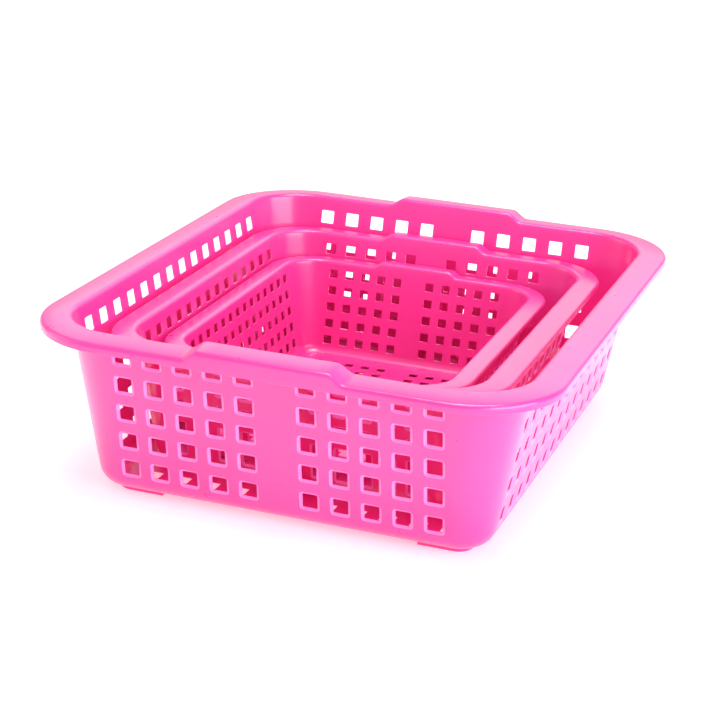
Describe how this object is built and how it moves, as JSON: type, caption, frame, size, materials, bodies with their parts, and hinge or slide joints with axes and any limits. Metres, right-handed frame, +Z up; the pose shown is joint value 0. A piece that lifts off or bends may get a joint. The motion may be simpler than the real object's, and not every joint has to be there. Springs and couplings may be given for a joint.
{
  "type": "nesting basket set",
  "caption": "Rectangular perforated plastic baskets nested inside one another, with drooping rims, raised end grips and corner feet; each smaller basket lifts straight out.",
  "frame": {"origin": "on the table, at the centre of the large basket's footprint, which is the middle of the bounding box's base", "axes": "+Z up, +Y along the long side towards the back grip, +X across the short end walls towards the right"},
  "size_m": [0.2696, 0.3176, 0.0975],
  "materials": {
    "pink_plastic": "moulded, semi-gloss, slightly translucent"
  },
  "bodies": {
    "large": {"large_basket": "pink_plastic"},
    "medium": {"medium_basket": "pink_plastic"},
    "small": {"small_basket": "pink_plastic"}
  },
  "joints": [
    {"name": "medium_lift", "type": "slide", "parent": "large", "child": "medium", "axis": [0, 0, 1], "range_m": [0, 0.11]},
    {"name": "small_lift", "type": "slide", "parent": "medium", "child": "small", "axis": [0, 0, 1], "range_m": [0, 0.09]}
  ]
}
